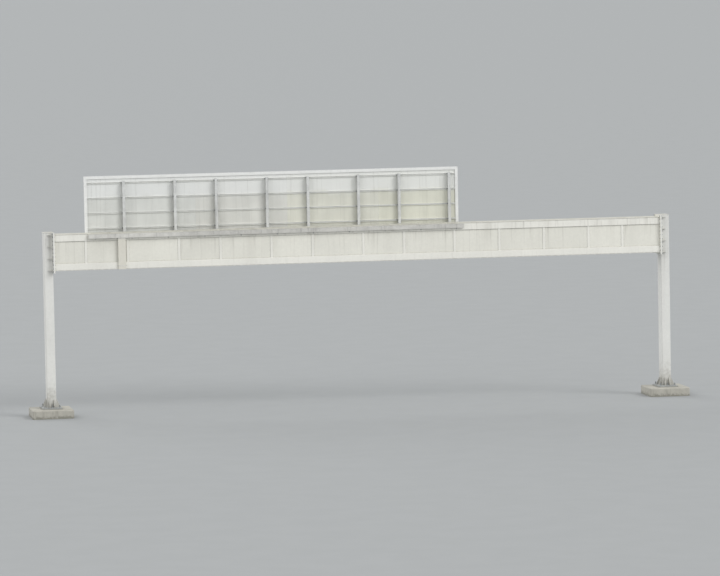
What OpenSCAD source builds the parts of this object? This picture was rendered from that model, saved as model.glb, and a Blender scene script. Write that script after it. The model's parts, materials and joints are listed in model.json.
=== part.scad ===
// Overhead sign gantry: two steel box posts and one closed beam make a portal over
// a carriageway, and a long road sign laps the beam's front face and stands above it.
// X runs along the beam, the sign faces +Y, and +Z is up. The origin lies on the
// ground midway between the posts. All sizes are in millimetres.

/* [Portal] */
// Clear distance between the inner faces of the posts
clear_span = 25000; // [23000:50:28500]
// Height of the beam's underside above the ground
headroom = 5900; // [5300:10:6600]
// Depth of the beam, over its deck and its floor
beam_d = 1450; // [1200:10:1800]
// Width of the beam, over the outer faces of its chords
beam_w = 900; // [780:10:1000]

/* [Posts] */
// Width of a post along the beam
post_w = 360; // [300:5:450]
// Depth of a post across the beam
post_d = 600; // [480:5:660]
// Wall of a post
post_t = 12; // [8:1:20]
// Outer corner radius of a post
post_r = 30; // [22:1:40]
// Thickness of a post's cap plate
cap_t = 10; // [6:1:20]
// Overhang of the cap plate past the post
cap_over = 15; // [5:1:40]

/* [Plinths] */
// Length of a plinth along the beam
plinth_l = 1650; // [1300:10:2200]
// Width of a plinth across the beam
plinth_w = 1700; // [1500:10:2400]
// Height of a plinth above the ground, without its grout bed
plinth_h = 350; // [200:10:500]
// Chamfer along a plinth's upright and top edges
plinth_chamfer = 30; // [10:5:60]
// Thickness of the grout bed under a base plate
grout_t = 30; // [20:5:60]
// Margin of the grout bed round the base plate
grout_margin = 40; // [20:5:80]

/* [Base plates] */
// Reach of a base plate beyond the post, on all four sides
base_over = 200; // [160:5:240]
// Thickness of a base plate
base_t = 40; // [25:5:60]
// Cut across each corner of a base plate
base_corner = 40; // [10:5:60]
// Bore for an anchor bolt
anchor_bore = 42; // [30:1:50]
// Distance from an anchor bore to the plate's edges
anchor_edge = 80; // [60:5:100]
// Height of a base gusset
gusset_h = 320; // [150:10:450]
// Length of a base gusset along its foot
gusset_l = 160; // [100:5:180]
// Thickness of a base gusset
gusset_t = 16; // [10:1:25]
// Cut across the corners of a gusset
gusset_clip = 24; // [12:2:40]
// Distance between the two gussets on a post's narrow face
gusset_pitch_narrow = 180; // [140:10:220]
// Distance between the two gussets on a post's wide face
gusset_pitch_wide = 320; // [240:10:380]

/* [Beam to post joints] */
// Thickness of the plate welded to a post's inner face
head_plate_t = 30; // [20:2:40]
// Thickness of the plate that closes an end of the beam
end_plate_t = 30; // [20:2:40]
// Reach of both plates past the beam, above and below
joint_over_z = 80; // [60:5:120]
// Reach of both plates past the beam's chords, at the front and the rear
joint_over_y = 75; // [60:5:90]
// Number of stiffeners on each face of a post behind its head plate
head_ribs = 4; // [2:1:6]
// Length of such a stiffener along the post
head_rib_l = 220; // [120:10:260]
// Thickness of such a stiffener
head_rib_t = 14; // [8:1:20]

/* [Beam] */
// Height of a chord
chord_h = 280; // [200:10:320]
// Width of a chord
chord_w = 160; // [110:10:200]
// Wall of a chord
chord_t = 10; // [6:1:14]
// Outer corner radius of a chord
chord_r = 22; // [16:1:30]
// Thickness of the deck and of the floor
skin_t = 8; // [5:1:12]
// Overhang of the deck past the chords, as a drip edge
deck_over = 12; // [5:1:16]
// Side of an upright's square section
upright_s = 100; // [80:5:120]
// Wall of an upright
upright_t = 6; // [4:1:10]
// Outer corner radius of an upright
upright_r = 12; // [10:1:20]
// Depth of an upright's outer face behind the chords' faces
upright_inset = 20; // [10:2:30]
// Depth of a side panel's outer face behind the chords' faces
panel_inset = 38; // [32:2:50]
// Thickness of a side panel
panel_t = 4; // [3:1:6]
// Depth of the folded edge round a side panel
panel_fold = 40; // [25:5:60]

/* [Upright spacing] */
// Distance from one pair of uprights to the next
bay = 3760; // [3400:10:3850]
// Distance between the two uprights of a pair
pair_gap = 2080; // [1800:10:2300]
// Distance from the left post's inner face to the middle of the first sign pair
first_pair = 4040; // [3700:10:4300]
// Distance between the uprights in the bare part of the beam, past the sign
plain_pitch = 1860; // [1700:10:2300]
// Distance from the right post's inner face to the last upright
last_upright = 1640; // [1000:10:1800]

/* [Sign] */
// Number of pairs of supports behind the sign
sign_pairs = 4; // [4:1:4]
// Height of the sign above the beam's deck
sign_rise = 2250; // [1900:10:2700]
// Depth of the sign below the deck, in front of the beam
sign_lap = 750; // [500:10:1000]
// Reach of the sign past its first support
sign_over_left = 1590; // [1300:10:1700]
// Reach of the sign past its last support
sign_over_right = 390; // [300:10:700]
// Thickness of the sign's sheets
sheet_t = 4; // [3:1:6]
// Open joint between two neighbouring sheets
sheet_joint = 4; // [2:1:8]
// Depth of a support, front to back
support_d = 150; // [120:5:180]
// Width of a support's flanges
support_b = 110; // [90:5:130]
// Thickness of a support's flanges
support_tf = 9; // [6:1:12]
// Thickness of a support's web
support_tw = 7; // [5:1:10]
// Root radius between a support's web and flanges
support_root = 9; // [6:1:12]
// Distance from a support's top to the sign's top
support_drop = 220; // [150:10:240]
// Distance from a support's foot up from the beam's underside
support_foot = 40; // [20:5:80]
// Thickness of the packing plates between the supports and the chords
packer_t = 20; // [17:1:30]
// Height of a packing plate
packer_h = 200; // [120:10:200]
// Reach of a packing plate past both edges of a support's flange
packer_over = 15; // [5:1:20]

/* [Sign rails and trim] */
// Number of rails behind the sign
rail_count = 5; // [5:1:5]
// Height of a rail
rail_h = 60; // [50:2:80]
// Depth of a rail, front to back
rail_d = 40; // [30:2:50]
// Thickness of a rail's wall
rail_t = 3; // [2:1:4]
// Width of the lips along a rail's open side
rail_lip = 14; // [10:1:18]
// Distance from the sign's edges to the middle of the outermost rails
rail_edge = 280; // [250:10:340]
// Thickness of the edge trim
trim_t = 3; // [2:1:4]
// Width of the trim on the back of the sign
trim_back_w = 120; // [80:5:150]
// Width of the trim on the front of the sign
trim_front_w = 20; // [12:1:30]
// Distance from the back of the sheets to the trim's back leg
trim_d = 30; // [20:2:36]

/* [Cable trunking] */
// Height of the trunking along the top rear chord
trunking_h = 160; // [100:5:190]
// Depth of the trunking
trunking_d = 100; // [60:5:140]
// Distance from the deck's underside down to the trunking
trunking_drop = 20; // [10:1:40]
// Wall of the trunking and of its duct
trunking_t = 3; // [2:1:5]
// Distance between the trunking's couplers
coupler_pitch = 3000; // [2000:50:3600]
// Length of a coupler
coupler_l = 120; // [80:5:200]
// Width of the duct that runs down the beam's rear face
duct_w = 300; // [200:5:340]
// Depth of the duct
duct_d = 80; // [50:5:120]
// Distance from the sign's first support to the middle of the duct, towards the left post
duct_offset = 240; // [220:5:400]

/* [Hidden] */
$fn = 48;

// Heights
base_z = plinth_h + grout_t;
post_z = base_z + base_t;
deck_z = headroom + beam_d;
post_top = deck_z + joint_over_z;
chord_low_z = headroom + skin_t;
chord_high_z = deck_z - skin_t - chord_h;
web_z = chord_low_z + chord_h;
web_h = chord_high_z - web_z;
sign_z = deck_z - sign_lap;
sign_h = sign_rise + sign_lap;
sign_top = sign_z + sign_h;
support_z = headroom + support_foot;
support_h = sign_top - support_drop - support_z;

// Places along the beam
face_x = clear_span / 2;
post_x = face_x + post_w / 2;
beam_x = face_x - head_plate_t - end_plate_t;
sign_x0 = station(0) - sign_over_left;
sign_x1 = station(2 * sign_pairs - 1) + sign_over_right;
sign_l = sign_x1 - sign_x0;
last_x = face_x - last_upright;
duct_x = station(0) - duct_offset;

// Places across the beam
half_w = beam_w / 2;
half_joint = half_w + joint_over_y;
support_y = half_w + packer_t;
rail_y = support_y + support_d;
sheet_y = rail_y + rail_d;
front_y = sheet_y + sheet_t;

// Sizes that follow
base_l = post_w + 2 * base_over;
base_w = post_d + 2 * base_over;
trunking_z = deck_z - skin_t - trunking_drop - trunking_h;

// Colours
CREAM = [0.91, 0.90, 0.87];
POST_GREY = [0.87, 0.87, 0.85];
PANEL_CREAM = [0.89, 0.88, 0.84];
GALVANISED = [0.75, 0.76, 0.75];
SHEET_GREY = [0.84, 0.84, 0.81];
TRIM_GREY = [0.92, 0.92, 0.90];
CONCRETE = [0.70, 0.69, 0.65];

// Station of upright i, counted from the sign's first support, in pairs along the beam
function station(i) =
    -face_x + first_pair + floor(i / 2) * bay + (i - 2 * floor(i / 2) - 0.5) * pair_gap;

// Stations left of the sign, behind it, and in the bare part of the beam past it
function left_stations() =
    [for (i = [-12:-1]) if (station(i) > upright_s - beam_x) station(i)];
function sign_stations() = [for (i = [0:2 * sign_pairs - 1]) station(i)];
function plain_stations() =
    [for (x = [station(2 * sign_pairs - 1) + plain_pitch : plain_pitch : last_x - 3 * upright_s]) x];
function stations() = concat(left_stations(), sign_stations(), plain_stations(), [last_x]);

// Edges of the side panels: the beam's ends and both faces of each upright
function panel_starts() = concat([-beam_x], [for (x = stations()) x + upright_s / 2]);
function panel_ends() = concat([for (x = stations()) x - upright_s / 2], [beam_x]);

// Edges of the sign's sheets, halfway between neighbouring pairs
function sheet_edge(i) =
    i == 0 ? sign_x0 + trim_t
    : i == sign_pairs ? sign_x1 - trim_t
    : (station(2 * i - 1) + station(2 * i)) / 2;

// Middle of rail i, counted from the foot of the sign
function rail_z(i) =
    sign_z + rail_edge + i * (sign_h - 2 * rail_edge) / (rail_count - 1);

// Rectangle with round corners, centred
module rounded_rect(w, h, r) {
    square([w - 2 * r, h], center = true);
    square([w, h - 2 * r], center = true);
    for (sx = [-1, 1], sy = [-1, 1])
        translate([sx * (w / 2 - r), sy * (h / 2 - r)]) circle(r);
}

// Section of a rectangular tube, centred
module tube_section(w, h, t, r) {
    difference() {
        rounded_rect(w, h, r);
        rounded_rect(w - 2 * t, h - 2 * t, max(r - t, 2));
    }
}

// Outline of a block with its two top corners cut
module chamfered_outline(w, h, c) {
    polygon([
        [-w / 2, 0], [w / 2, 0], [w / 2, h - c],
        [w / 2 - c, h], [-w / 2 + c, h], [-w / 2, h - c]
    ]);
}

// Rectangle with its four corners cut, centred
module cut_rect(w, h, c) {
    polygon([
        [-w / 2 + c, -h / 2], [w / 2 - c, -h / 2], [w / 2, -h / 2 + c], [w / 2, h / 2 - c],
        [w / 2 - c, h / 2], [-w / 2 + c, h / 2], [-w / 2, h / 2 - c], [-w / 2, -h / 2 + c]
    ]);
}

// Lays a section, drawn across the beam, along X from x0 to x1
module along_x(x0, x1) {
    translate([x0, 0, 0]) rotate([90, 0, 90]) linear_extrude(x1 - x0) children();
}

// Puts a piece of the portal's left side on the right side
module on_right() {
    mirror([1, 0, 0]) children();
}

// Puts a piece of the beam's front on its rear
module on_rear() {
    mirror([0, 1, 0]) children();
}

module plinth() {
    color(CONCRETE) translate([-post_x, 0, 0]) {
        intersection() {
            rotate([90, 0, 0]) linear_extrude(plinth_w, center = true)
                chamfered_outline(plinth_l, plinth_h, plinth_chamfer);
            rotate([90, 0, 90]) linear_extrude(plinth_l, center = true)
                chamfered_outline(plinth_w, plinth_h, plinth_chamfer);
            linear_extrude(plinth_h) cut_rect(plinth_l, plinth_w, plinth_chamfer);
        }
        translate([0, 0, plinth_h])
            linear_extrude(grout_t)
                square([base_l + 2 * grout_margin, base_w + 2 * grout_margin], center = true);
    }
}

// Base plate with an anchor bore at each corner and in the middle of each side
module base_plate() {
    bore_x = base_l / 2 - anchor_edge;
    bore_y = base_w / 2 - anchor_edge;
    color(GALVANISED) translate([-post_x, 0, base_z])
        difference() {
            linear_extrude(base_t) cut_rect(base_l, base_w, base_corner);
            for (x = [-1, 0, 1], y = [-1, 0, 1])
                if (x != 0 || y != 0)
                    translate([x * bore_x, y * bore_y, -1])
                        cylinder(d = anchor_bore, h = base_t + 2);
        }
}

// Upright gusset plate in the XZ plane, with its foot along +X
module base_gusset() {
    rotate([90, 0, 0]) linear_extrude(gusset_t, center = true)
        polygon([
            [gusset_clip, 0], [gusset_l, 0], [gusset_l, gusset_clip],
            [gusset_clip, gusset_h], [0, gusset_h], [0, gusset_clip]
        ]);
}

// Two gussets on each of the post's four faces
module base_gussets() {
    color(POST_GREY) translate([-post_x, 0, post_z])
        for (turn = [0, 180], side = [-0.5, 0.5]) {
            rotate([0, 0, turn])
                translate([post_w / 2, side * gusset_pitch_wide, 0]) base_gusset();
            rotate([0, 0, turn + 90])
                translate([post_d / 2, side * gusset_pitch_narrow, 0]) base_gusset();
        }
}

module post() {
    color(POST_GREY) translate([-post_x, 0, post_z])
        linear_extrude(post_top - post_z) tube_section(post_w, post_d, post_t, post_r);
}

module post_cap() {
    color(POST_GREY) translate([-post_x, 0, post_top])
        linear_extrude(cap_t)
            rounded_rect(post_w + 2 * cap_over, post_d + 2 * cap_over, post_r + cap_over);
}

// Outline of the two plates of a bolted joint, seen along the beam
module joint_outline() {
    translate([-half_joint, headroom - joint_over_z])
        square([2 * half_joint, beam_d + 2 * joint_over_z]);
}

// Stiffener in the XY plane, between a post's face and its head plate
module head_rib() {
    reach = half_joint - post_d / 2 - gusset_clip;
    linear_extrude(head_rib_t)
        polygon([
            [0, gusset_clip + post_r], [0, reach], [-gusset_clip, reach],
            [-head_rib_l, gusset_clip], [-head_rib_l, 0], [-gusset_clip - post_r, 0]
        ]);
}

// Plate welded to the post's inner face, with the stiffeners behind its two wings
module head_plate() {
    rib_step = (beam_d - head_rib_t) / (head_ribs - 1);
    color(POST_GREY) {
        along_x(-face_x, -face_x + head_plate_t) joint_outline();
        for (side = [0, 1], i = [0:head_ribs - 1])
            mirror([0, side, 0])
                translate([-face_x, post_d / 2, headroom + i * rib_step]) head_rib();
    }
}

module end_plate() {
    color(CREAM) along_x(-beam_x - end_plate_t, -beam_x) joint_outline();
}

// One chord of the beam's front side, whose underside is at height z
module chord(z) {
    color(CREAM) along_x(-beam_x, beam_x)
        translate([half_w - chord_w / 2, z + chord_h / 2])
            tube_section(chord_w, chord_h, chord_t, chord_r);
}

module beam_floor() {
    color(CREAM) along_x(-beam_x, beam_x)
        translate([-half_w, headroom]) square([beam_w, skin_t]);
}

module beam_deck() {
    color(CREAM) along_x(-beam_x, beam_x)
        translate([-half_w - deck_over, deck_z - skin_t])
            square([beam_w + 2 * deck_over, skin_t]);
}

// Square tubes between the chords of the beam's front side
module uprights() {
    color(CREAM)
        for (x = stations())
            translate([x, half_w - upright_inset - upright_s / 2, web_z])
                linear_extrude(web_h)
                    tube_section(upright_s, upright_s, upright_t, upright_r);
}

// Tray with folded edges, from x0 to x1, whose open side faces into the beam
module side_panel(x0, x1) {
    inner_h = web_h - 2 * panel_t;
    translate([x0, half_w - panel_inset - panel_fold, web_z])
        difference() {
            cube([x1 - x0, panel_fold, web_h]);
            translate([panel_t, -panel_t, panel_t])
                cube([x1 - x0 - 2 * panel_t, panel_fold, inner_h]);
        }
}

module side_panels() {
    color(PANEL_CREAM)
        for (i = [0:len(stations())])
            side_panel(panel_starts()[i], panel_ends()[i]);
}

// I section of a sign support, with its rear flange on the X axis
module support_section() {
    root = support_tw / 2 + support_root;
    translate([-support_b / 2, 0]) square([support_b, support_tf]);
    translate([-support_b / 2, support_d - support_tf]) square([support_b, support_tf]);
    translate([-support_tw / 2, 0]) square([support_tw, support_d]);
    for (end = [0, 1])
        translate([0, support_d / 2]) mirror([0, end]) translate([0, support_tf - support_d / 2])
            difference() {
                translate([-root, 0]) square([2 * root, support_root]);
                for (side = [-1, 1])
                    translate([side * root, support_root]) circle(support_root);
            }
}

module sign_support(i) {
    color(GALVANISED) translate([station(i), support_y, support_z])
        linear_extrude(support_h) support_section();
}

// Plates that hold the supports off the drip edge, on both front chords
module packing_plates() {
    w = support_b + 2 * packer_over;
    color(GALVANISED)
        for (x = sign_stations(), z = [chord_low_z, chord_high_z])
            translate([x - w / 2, half_w, z + (chord_h - packer_h) / 2])
                cube([w, packer_t, packer_h]);
}

// Lipped channel of a rail, with its open side to the rear and its back to the sheet
module rail_section() {
    difference() {
        translate([0, -rail_h / 2]) square([rail_d, rail_h]);
        translate([rail_t, -rail_h / 2 + rail_t])
            square([rail_d - 2 * rail_t, rail_h - 2 * rail_t]);
        translate([-1, -rail_h / 2 + rail_lip])
            square([rail_t + 2, rail_h - 2 * rail_lip]);
    }
}

// Rail from x0 to x1 at height z
module rail(x0, x1, z) {
    along_x(x0, x1) translate([rail_y, z]) rail_section();
}

// One length of rail behind each sheet
module sign_rail(i) {
    color(TRIM_GREY)
        for (k = [0:sign_pairs - 1]) {
            x0 = k == 0 ? sign_x0 + trim_back_w : sheet_edge(k) + sheet_joint / 2;
            x1 = k == sign_pairs - 1 ? sign_x1 - trim_back_w
                : sheet_edge(k + 1) - sheet_joint / 2;
            rail(x0, x1, rail_z(i));
        }
}

module sign_sheet(k) {
    x0 = sheet_edge(k) + (k == 0 ? 0 : sheet_joint / 2);
    x1 = sheet_edge(k + 1) - (k == sign_pairs - 1 ? 0 : sheet_joint / 2);
    color(SHEET_GREY)
        translate([x0, sheet_y, sign_z + trim_t])
            cube([x1 - x0, sheet_t, sign_h - 2 * trim_t]);
}

// Flat ring round the sign's outline, w wide, from y0 to y1
module trim_ring(w, y0, y1) {
    difference() {
        translate([sign_x0, y0, sign_z]) cube([sign_l, y1 - y0, sign_h]);
        translate([sign_x0 + w, y0 - 1, sign_z + w])
            cube([sign_l - 2 * w, y1 - y0 + 2, sign_h - 2 * w]);
    }
}

// Channel folded round the edges of the sheets
module sign_edge_trim() {
    back_y = sheet_y - trim_d;
    color(TRIM_GREY) {
        trim_ring(trim_back_w, back_y, back_y + trim_t);
        trim_ring(trim_t, back_y, front_y + trim_t);
        trim_ring(trim_front_w, front_y, front_y + trim_t);
    }
}

// Closed box section, w wide and h high, from y = 0 to y = d
module closed_box(w, d, h) {
    difference() {
        cube([w, d, h]);
        translate([trunking_t, trunking_t, trunking_t])
            cube([w - 2 * trunking_t, d - 2 * trunking_t, h - 2 * trunking_t]);
    }
}

// Hollow of the duct, open upwards into the trunking
module duct_hollow() {
    translate([duct_x - duct_w / 2 + trunking_t, -half_w - duct_d + trunking_t, headroom + trunking_t])
        cube([duct_w - 2 * trunking_t, duct_d - 2 * trunking_t, trunking_z - headroom]);
}

// Trunking along the rear chord, whose couplers lap its lid and its face
module cable_trunking() {
    couplers = [sign_x0 + coupler_pitch : coupler_pitch : sign_x1 - coupler_l];
    color(GALVANISED) {
        difference() {
            translate([sign_x0, -half_w - trunking_d, trunking_z])
                closed_box(sign_l, trunking_d, trunking_h);
            duct_hollow();
        }
        for (x = couplers)
            translate([x - coupler_l / 2, -half_w - trunking_d, trunking_z])
                difference() {
                    translate([0, -trunking_t, 0])
                        cube([coupler_l, trunking_d + trunking_t, trunking_h + trunking_t]);
                    translate([-1, trunking_t, -1])
                        cube([coupler_l + 2, trunking_d, trunking_h - trunking_t + 1]);
                }
    }
}

// Duct from the trunking down over the rear face of the beam
module cable_duct() {
    color(CREAM)
        difference() {
            translate([duct_x - duct_w / 2, -half_w - duct_d, headroom])
                cube([duct_w, duct_d, trunking_z - headroom]);
            duct_hollow();
        }
}

plinth();  // left_plinth
on_right() plinth();  // right_plinth
base_plate();  // left_base_plate
on_right() base_plate();  // right_base_plate
base_gussets();  // left_base_gussets
on_right() base_gussets();  // right_base_gussets
post();  // left_post
on_right() post();  // right_post
post_cap();  // left_post_cap
on_right() post_cap();  // right_post_cap
head_plate();  // left_head_plate
on_right() head_plate();  // right_head_plate
end_plate();  // left_end_plate
on_right() end_plate();  // right_end_plate
on_rear() chord(chord_low_z);  // rear_bottom_chord
chord(chord_low_z);  // front_bottom_chord
on_rear() chord(chord_high_z);  // rear_top_chord
chord(chord_high_z);  // front_top_chord
beam_floor();
beam_deck();
on_rear() uprights();  // rear_uprights
uprights();  // front_uprights
on_rear() side_panels();  // rear_panels
side_panels();  // front_panels
packing_plates();
sign_support(0);  // sign_support_1
sign_support(1);  // sign_support_2
sign_support(2);  // sign_support_3
sign_support(3);  // sign_support_4
sign_support(4);  // sign_support_5
sign_support(5);  // sign_support_6
sign_support(6);  // sign_support_7
sign_support(7);  // sign_support_8
sign_rail(0);  // sign_rail_1
sign_rail(1);  // sign_rail_2
sign_rail(2);  // sign_rail_3
sign_rail(3);  // sign_rail_4
sign_rail(4);  // sign_rail_5
sign_sheet(0);  // sign_sheet_1
sign_sheet(1);  // sign_sheet_2
sign_sheet(2);  // sign_sheet_3
sign_sheet(3);  // sign_sheet_4
sign_edge_trim();
cable_trunking();
cable_duct();
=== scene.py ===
"""Looks of the overhead sign gantry: the finish of every plate and tube, its bolts, clamps, rivets,
screws, seals, welds and cable fittings, the sign's face, and a plain floor, light and camera.

Every size is in metres. Places come from the frame's own pieces wherever a piece can give them.
"""

from __future__ import annotations

import json
import logging
import math
from dataclasses import dataclass, field
from enum import Enum
from itertools import product

import bmesh
import bpy
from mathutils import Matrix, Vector

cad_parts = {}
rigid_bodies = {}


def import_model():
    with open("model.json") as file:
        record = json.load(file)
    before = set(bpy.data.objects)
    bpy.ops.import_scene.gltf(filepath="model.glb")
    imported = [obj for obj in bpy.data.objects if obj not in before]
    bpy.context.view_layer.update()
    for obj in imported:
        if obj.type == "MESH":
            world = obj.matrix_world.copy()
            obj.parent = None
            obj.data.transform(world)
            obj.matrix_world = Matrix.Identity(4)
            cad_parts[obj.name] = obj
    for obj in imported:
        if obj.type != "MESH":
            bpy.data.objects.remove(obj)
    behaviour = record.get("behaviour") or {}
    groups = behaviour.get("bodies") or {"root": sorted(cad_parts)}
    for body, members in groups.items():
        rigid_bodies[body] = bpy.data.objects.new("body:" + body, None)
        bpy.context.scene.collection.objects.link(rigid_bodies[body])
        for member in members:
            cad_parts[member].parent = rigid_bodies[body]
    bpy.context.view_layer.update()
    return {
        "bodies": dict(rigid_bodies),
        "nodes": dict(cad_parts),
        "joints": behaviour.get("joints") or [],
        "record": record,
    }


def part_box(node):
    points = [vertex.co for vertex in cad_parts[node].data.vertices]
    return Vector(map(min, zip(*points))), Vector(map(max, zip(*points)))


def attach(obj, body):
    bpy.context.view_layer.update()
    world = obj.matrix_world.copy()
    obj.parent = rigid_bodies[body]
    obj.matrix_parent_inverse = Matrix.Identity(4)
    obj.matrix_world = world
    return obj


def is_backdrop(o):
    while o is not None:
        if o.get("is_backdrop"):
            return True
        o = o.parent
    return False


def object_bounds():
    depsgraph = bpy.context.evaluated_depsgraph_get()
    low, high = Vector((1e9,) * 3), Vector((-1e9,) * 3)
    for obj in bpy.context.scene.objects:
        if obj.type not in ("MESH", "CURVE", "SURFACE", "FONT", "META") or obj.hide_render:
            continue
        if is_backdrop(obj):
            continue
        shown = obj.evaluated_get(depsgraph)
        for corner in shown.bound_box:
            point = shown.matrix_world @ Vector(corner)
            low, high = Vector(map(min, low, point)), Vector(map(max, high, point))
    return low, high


LOG = logging.getLogger("gantry")
BODY = "root"
GROUT_T = 0.03
MERGED = 0.00002

Colour = tuple[float, float, float]
Point = tuple[float, float, float]
Pair = tuple[float, float]
Box = tuple[Vector, Vector]

ALONG, REARWARD, FORWARD, UP = (1.0, 0.0, 0.0), (0.0, -1.0, 0.0), (0.0, 1.0, 0.0), (0.0, 0.0, 1.0)
BOTH_WAYS, HALVES = (-1.0, 1.0), (-0.5, 0.5)


def linear(colour: Colour) -> tuple[float, float, float, float]:
    """Returns a colour, given as the screen shows it, in the linear values that a shader takes."""
    knee, slope, offset, power = 0.04045, 12.92, 0.055, 2.4
    return (*(c / slope if c <= knee else ((c + offset) / (1 + offset)) ** power for c in colour), 1.0)


class Slot(Enum):
    """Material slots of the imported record."""

    BEAM = "beam_paint"
    PANEL = "panel_paint"
    POST = "post_paint"
    STEEL = "galvanised_steel"
    SHEET = "sign_sheet"
    RAIL = "sign_rail"


class Side(Enum):
    """The two long sides of the beam, as the sign of Y."""

    REAR = -1.0
    FRONT = 1.0


class End(Enum):
    """The two ends of the portal, as the sign of X."""

    LEFT = -1.0
    RIGHT = 1.0


@dataclass(frozen=True)
class Term:
    """What one output of a node gives. Terms add, subtract and multiply as numbers do."""

    graph: Graph
    socket: bpy.types.NodeSocket

    def __add__(self, other: Value) -> Term:
        """Returns the sum."""
        return self.graph.math("ADD", self, other)

    def __sub__(self, other: Value) -> Term:
        """Returns the difference."""
        return self.graph.math("SUBTRACT", self, other)

    def __mul__(self, other: Value) -> Term:
        """Returns the product."""
        return self.graph.math("MULTIPLY", self, other)


Value = Term | float | int | str | tuple


class Graph:
    """A node tree in the making."""

    def __init__(self, tree: bpy.types.NodeTree) -> None:
        """Takes over a tree and empties it."""
        self.tree = tree
        tree.nodes.clear()

    def node(self, kind: str, inputs: dict | None = None, **settings: str | bool) -> bpy.types.Node:
        """Adds a node.

        Args:
            kind: The node's type.
            inputs: Its inputs, by name or index, as values or as terms to link from.
            **settings: Its properties.

        Returns:
            The new node.
        """
        node = self.tree.nodes.new(kind)
        for key, value in settings.items():
            setattr(node, key, value)
        for key, value in (inputs or {}).items():
            if isinstance(value, Term):
                self.tree.links.new(value.socket, node.inputs[key])
            else:
                node.inputs[key].default_value = value
        return node

    def term(self, kind: str, inputs: dict | None = None, out: int | str = 0, **settings: str | bool) -> Term:
        """Adds a node and returns one of its outputs."""
        return Term(self, self.node(kind, inputs, **settings).outputs[out])

    def math(self, operation: str, a: Value, b: Value = 0.0) -> Term:
        """Returns the result of one Math node."""
        return self.term("ShaderNodeMath", {0: a, 1: b}, operation=operation)

    def axes(self, vector: Term) -> list[Term]:
        """Returns a vector's three numbers."""
        return [Term(self, out) for out in self.node("ShaderNodeSeparateXYZ", {0: vector}).outputs]

    def vector(self, x: Value, y: Value, z: Value) -> Term:
        """Returns the vector of three numbers."""
        return self.term("ShaderNodeCombineXYZ", {0: x, 1: y, 2: z})

    def blend(self, share: Value, base: Value, top: Value, mode: str = "MIX") -> Term:
        """Returns a colour blended from two, by a share from 0 to 1."""
        inputs = {0: share, 6: base, 7: top}
        return self.term("ShaderNodeMix", inputs, 2, data_type="RGBA", blend_type=mode, clamp_factor=True)


class Shader(Graph):
    """The node tree of one finish, with short methods for the patterns that the finishes share."""

    def __init__(self, name: str) -> None:
        """Starts a tree whose patterns lie on Object coordinates.

        Args:
            name: The finish's name.
        """
        self.material = bpy.data.materials.new(name)
        self.material.use_nodes = True
        super().__init__(self.material.node_tree)
        self.place = self.term("ShaderNodeTexCoord", out="Object")
        self.x, self.y, self.z = self.axes(self.place)
        self.up = self.axes(self.term("ShaderNodeNewGeometry", out="Normal"))[2]
        self.upright = self.span(self.math("ABSOLUTE", self.up), 0.4, 0.8, (1.0, 0.0))

    def noise(self, scale: float, detail: float = 4.0, rough: float = 0.55,
              along: Point | None = None) -> Term:
        """Makes a noise pattern.

        Args:
            scale: Features in each metre.
            detail: How many finer layers it holds.
            rough: How strong the finer layers are.
            along: A scale for each axis, where the pattern is longer one way.

        Returns:
            The pattern, from 0 to 1.
        """
        place = self.place
        if along:
            place = self.term("ShaderNodeVectorMath", {0: place, 1: along}, operation="MULTIPLY")
        inputs = {"Vector": place, "Scale": scale, "Detail": detail, "Roughness": rough}
        return self.term("ShaderNodeTexNoise", inputs)

    def cells(self, scale: float, feature: str = "F1", out: str = "Distance") -> Term:
        """Returns a pattern of cells, as a distance or as a colour for each cell."""
        return self.term("ShaderNodeTexVoronoi", {"Vector": self.place, "Scale": scale}, out, feature=feature)

    def span(self, value: Term, low: float, high: float, to: Pair = (0.0, 1.0)) -> Term:
        """Returns the value moved from low..high to another range, eased and held at its ends."""
        inputs = {0: value, 1: low, 2: high, 3: to[0], 4: to[1]}
        return self.term("ShaderNodeMapRange", inputs, interpolation_type="SMOOTHSTEP", clamp=True)

    def runs(self, across: float, down: float, at: Pair = (0.52, 0.75), detail: float = 4.0,
             rough: float = 0.6) -> Term:
        """Returns the pattern of rain runs, of so many in a metre across and down, from 0 to 1."""
        return self.span(self.noise(1.0, detail, rough, (across, across, down)), *at)

    def ragged(self, height: Term, pattern: Term, by: float) -> Term:
        """Returns the height moved up and down by a pattern, so that an edge there isn't level."""
        return height + self.span(pattern, 0.3, 0.7, (-by, by))

    def toned(self, colour: Value, tone: Term) -> Term:
        """Returns the colour multiplied by a grey tone."""
        grey = self.term("ShaderNodeCombineColor", {0: tone, 1: tone, 2: tone})
        return self.blend(1.0, colour, grey, "MULTIPLY")

    def mottled(self, colour: Value, pattern: Term, dark: float, light: float) -> Term:
        """Returns the colour with a tone that follows a pattern, from dark to light."""
        return self.toned(colour, self.span(pattern, 0.3, 0.7, (dark, light)))

    def stained(self, colour: Value, share: Value, stain: Colour) -> Term:
        """Returns the colour under a stain, by a share from 0 to 1."""
        return self.blend(share, colour, linear(stain))

    def bump(self, height: Term, depth: float, below: Term | None = None) -> Term:
        """Returns a normal with a relief of the given depth in metres, laid on the relief below it."""
        inputs = {"Height": height, "Distance": depth, "Strength": 1.0} | ({"Normal": below} if below else {})
        return self.term("ShaderNodeBump", inputs)

    def close(self, colour: Value, roughness: Value, normal: Term, **fixed: float) -> bpy.types.Material:
        """Ends the tree in a surface shader.

        Args:
            colour: The base colour.
            roughness: The roughness.
            normal: The relief's normal.
            **fixed: Other inputs of the shader that are the same all over.

        Returns:
            The finished material.
        """
        names = {"metallic": "Metallic", "specular": "Specular IOR Level", "coat": "Coat Weight",
                 "coat_roughness": "Coat Roughness"}
        inputs = {"Base Color": colour, "Roughness": roughness, "Normal": normal}
        inputs |= {names[key]: value for key, value in fixed.items()}
        surface = self.term("ShaderNodeBsdfPrincipled", inputs)
        self.node("ShaderNodeOutputMaterial", {0: surface})
        return self.material


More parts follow.
